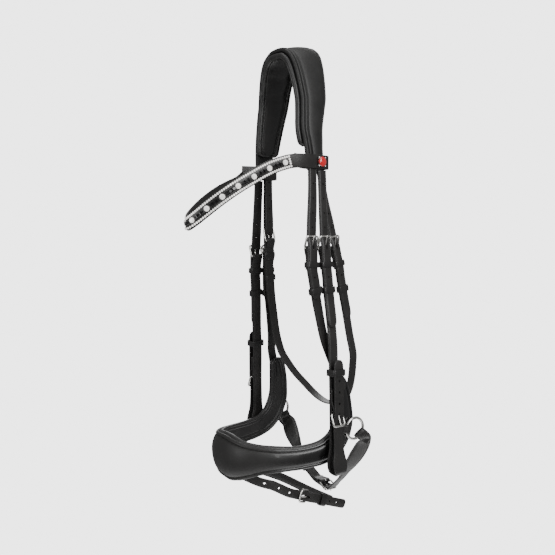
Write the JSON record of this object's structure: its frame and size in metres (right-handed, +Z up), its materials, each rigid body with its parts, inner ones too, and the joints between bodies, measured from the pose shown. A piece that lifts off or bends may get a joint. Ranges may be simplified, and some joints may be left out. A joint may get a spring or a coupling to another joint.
{
  "type": "snaffle bridle",
  "caption": "English snaffle bridle: anatomic padded headpiece, jewelled V browband, crank noseband with flash strap, throatlatch and billets with silver buckles.",
  "frame": {"origin": "the middle of the underside of the headpiece, where the bridle lies over the poll", "axes": "+Z up as the bridle hangs, -Y forwards to the nose of the horse, +X to its left, the near side"},
  "size_m": [0.2019, 0.2317, 0.6057],
  "materials": {
    "black_leather": "semi-gloss black bridle leather with fine grain",
    "black_padding": "soft satin black lining leather over foam",
    "silver_metal": "polished stainless steel",
    "crystal_trim": "clear and black faceted glass stones",
    "red_stone": "polished red glass"
  },
  "bodies": {
    "root": {"headpiece": "black_leather", "headpiece_pad": "black_padding"},
    "browband": {"browband": "black_leather", "browband_crystals": "crystal_trim", "browband_stone": "red_stone", "browband_stone_setting": "silver_metal"},
    "noseband": {"noseband_billet_near": "black_leather", "noseband_buckle_near": "silver_metal", "noseband_hanger_near": "black_leather", "noseband_billet_far": "black_leather", "noseband_buckle_far": "silver_metal", "noseband_hanger_far": "black_leather", "nosepiece": "black_leather", "nosepiece_pad": "black_padding", "flash_tab": "black_leather", "ring_tab_near": "black_leather", "ring_tab_far": "black_leather"},
    "cheek_near": {"cheek_billet_near": "black_leather", "cheek_buckle_near": "silver_metal", "cheekpiece_near": "black_leather", "bit_chape_near": "black_leather", "bit_buckle_near": "silver_metal"},
    "cheek_far": {"cheek_billet_far": "black_leather", "cheek_buckle_far": "silver_metal", "cheekpiece_far": "black_leather", "bit_chape_far": "black_leather", "bit_buckle_far": "silver_metal"},
    "throatlatch": {"throat_billet_near": "black_leather", "throat_buckle_near": "silver_metal", "throat_billet_far": "black_leather", "throat_buckle_far": "silver_metal", "throatlatch": "black_leather"},
    "chin": {"ring_near": "silver_metal", "ring_far": "silver_metal", "chin_strap_far": "black_leather", "chin_strap_near": "black_leather", "chin_buckle": "silver_metal"},
    "flash": {"flash_strap": "black_leather", "flash_buckle": "silver_metal"},
    "noseband_tongue_near": {"noseband_tongue_near": "silver_metal"},
    "cheek_tongue_near": {"cheek_tongue_near": "silver_metal"},
    "throat_tongue_near": {"throat_tongue_near": "silver_metal"},
    "bit_tongue_near": {"bit_tongue_near": "silver_metal"},
    "noseband_tongue_far": {"noseband_tongue_far": "silver_metal"},
    "cheek_tongue_far": {"cheek_tongue_far": "silver_metal"},
    "throat_tongue_far": {"throat_tongue_far": "silver_metal"},
    "bit_tongue_far": {"bit_tongue_far": "silver_metal"},
    "chin_tongue": {"chin_tongue": "silver_metal"},
    "flash_tongue": {"flash_tongue": "silver_metal"},
    "noseband_runner_near": {"noseband_runner_near": "black_leather"},
    "cheek_runner_near": {"cheek_runner_near": "black_leather"},
    "throat_runner_near": {"throat_runner_near": "black_leather"},
    "bit_runner_near": {"bit_runner_near": "black_leather"},
    "noseband_runner_far": {"noseband_runner_far": "black_leather"},
    "cheek_runner_far": {"cheek_runner_far": "black_leather"},
    "throat_runner_far": {"throat_runner_far": "black_leather"},
    "bit_runner_far": {"bit_runner_far": "black_leather"},
    "chin_runner": {"chin_runner": "black_leather"},
    "flash_runner": {"flash_runner": "black_leather"}
  },
  "joints": [
    {"name": "browband_lift", "type": "hinge", "parent": "root", "child": "browband", "pos_m": [0, -0.009, -0.141], "axis": [-1, 0, 0], "range_deg": [0, 4]},
    {"name": "noseband_swing", "type": "hinge", "parent": "root", "child": "noseband", "pos_m": [0, 0, -0.14], "axis": [-1, 0, 0], "range_deg": [0, 8]},
    {"name": "cheek_near_flare", "type": "hinge", "parent": "noseband", "child": "cheek_near", "pos_m": [0.0585, -0.0006, -0.148], "axis": [0, -1, 0], "range_deg": [0, 12]},
    {"name": "cheek_far_flare", "type": "hinge", "parent": "noseband", "child": "cheek_far", "pos_m": [-0.05887, -0.008, -0.154], "axis": [0, 1, 0], "range_deg": [0, 12]},
    {"name": "throatlatch_swing", "type": "hinge", "parent": "root", "child": "throatlatch", "pos_m": [0, 0.002, -0.14], "axis": [1, 0, 0], "range_deg": [0, 6]},
    {"name": "chin_swing", "type": "hinge", "parent": "noseband", "child": "chin", "pos_m": [0.00319, 0.02595, -0.47825], "axis": [0.9895, -0.1215, 0.0781], "range_deg": [0, 8]},
    {"name": "flash_swing", "type": "hinge", "parent": "noseband", "child": "flash", "pos_m": [-0.0126, -0.0926, -0.526], "axis": [1, 0, 0], "range_deg": [0, 3]},
    {"name": "noseband_tongue_lift_near", "type": "hinge", "parent": "noseband", "child": "noseband_tongue_near", "pos_m": [0.06115, -0.02244, -0.24513], "axis": [0, 0.9994, -0.0353], "range_deg": [0, 20]},
    {"name": "cheek_tongue_lift_near", "type": "hinge", "parent": "cheek_near", "child": "cheek_tongue_near", "pos_m": [0.06262, -0.00102, -0.24516], "axis": [0, 0.9999, 0.0146], "range_deg": [0, 20]},
    {"name": "throat_tongue_lift_near", "type": "hinge", "parent": "throatlatch", "child": "throat_tongue_near", "pos_m": [0.06009, 0.01964, -0.24517], "axis": [0, 0.9804, 0.197], "range_deg": [0, 20]},
    {"name": "bit_tongue_lift_near", "type": "hinge", "parent": "cheek_near", "child": "bit_tongue_near", "pos_m": [0.09121, -0.00476, -0.4477], "axis": [0, -0.9989, 0.0466], "range_deg": [0, 20]},
    {"name": "noseband_tongue_lift_far", "type": "hinge", "parent": "noseband", "child": "noseband_tongue_far", "pos_m": [-0.06193, 0.01319, -0.25813], "axis": [0, -0.9995, -0.0323], "range_deg": [0, 20]},
    {"name": "cheek_tongue_lift_far", "type": "hinge", "parent": "cheek_far", "child": "cheek_tongue_far", "pos_m": [-0.0635, -0.0078, -0.25814], "axis": [0, -0.9994, -0.0347], "range_deg": [0, 20]},
    {"name": "throat_tongue_lift_far", "type": "hinge", "parent": "throatlatch", "child": "throat_tongue_far", "pos_m": [-0.04836, 0.00414, -0.23617], "axis": [0, -0.999, -0.0441], "range_deg": [0, 20]},
    {"name": "bit_tongue_lift_far", "type": "hinge", "parent": "cheek_far", "child": "bit_tongue_far", "pos_m": [-0.08939, 0.00944, -0.43363], "axis": [0, 0.9978, 0.0665], "range_deg": [0, 20]},
    {"name": "chin_tongue_lift", "type": "hinge", "parent": "chin", "child": "chin_tongue", "pos_m": [0.0164, 0.04881, -0.5696], "axis": [0.1706, 0.9853, -0.0098], "range_deg": [0, 20]},
    {"name": "flash_tongue_lift", "type": "hinge", "parent": "flash", "child": "flash_tongue", "pos_m": [0.0526, -0.01887, -0.56155], "axis": [0, 0.3697, 0.9292], "range_deg": [0, 20]},
    {"name": "noseband_runner_slide_near", "type": "slide", "parent": "noseband", "child": "noseband_runner_near", "axis": [-0.0526, -0.1808, 0.9821], "range_m": [-0.004, 0.004]},
    {"name": "cheek_runner_slide_near", "type": "slide", "parent": "cheek_near", "child": "cheek_runner_near", "axis": [-0.0885, -0.0391, 0.9953], "range_m": [-0.004, 0.004]},
    {"name": "throat_runner_slide_near", "type": "slide", "parent": "throatlatch", "child": "throat_runner_near", "axis": [-0.0392, -0.1966, 0.9797], "range_m": [-0.004, 0.004]},
    {"name": "bit_runner_slide_near", "type": "slide", "parent": "cheek_near", "child": "bit_runner_near", "axis": [-0.0675, 0.0465, 0.9966], "range_m": [-0.001, 0.004]},
    {"name": "noseband_runner_slide_far", "type": "slide", "parent": "noseband", "child": "noseband_runner_far", "axis": [0.0532, -0.1141, 0.992], "range_m": [-0.004, 0.004]},
    {"name": "cheek_runner_slide_far", "type": "slide", "parent": "cheek_far", "child": "cheek_runner_far", "axis": [0.1617, -0.1487, 0.9756], "range_m": [-0.004, 0.004]},
    {"name": "throat_runner_slide_far", "type": "slide", "parent": "throatlatch", "child": "throat_runner_far", "axis": [0.0527, -0.1159, 0.9919], "range_m": [-0.004, 0.004]},
    {"name": "bit_runner_slide_far", "type": "slide", "parent": "cheek_far", "child": "bit_runner_far", "axis": [0.0835, -0.0662, 0.9943], "range_m": [-0.004, 0.004]},
    {"name": "chin_runner_slide", "type": "slide", "parent": "chin", "child": "chin_runner", "axis": [0.8677, -0.0716, -0.4919], "range_m": [-0.004, 0.004]},
    {"name": "flash_runner_slide", "type": "slide", "parent": "flash", "child": "flash_runner", "axis": [-0.0598, -0.9275, 0.369], "range_m": [-0.004, 0.004]}
  ]
}
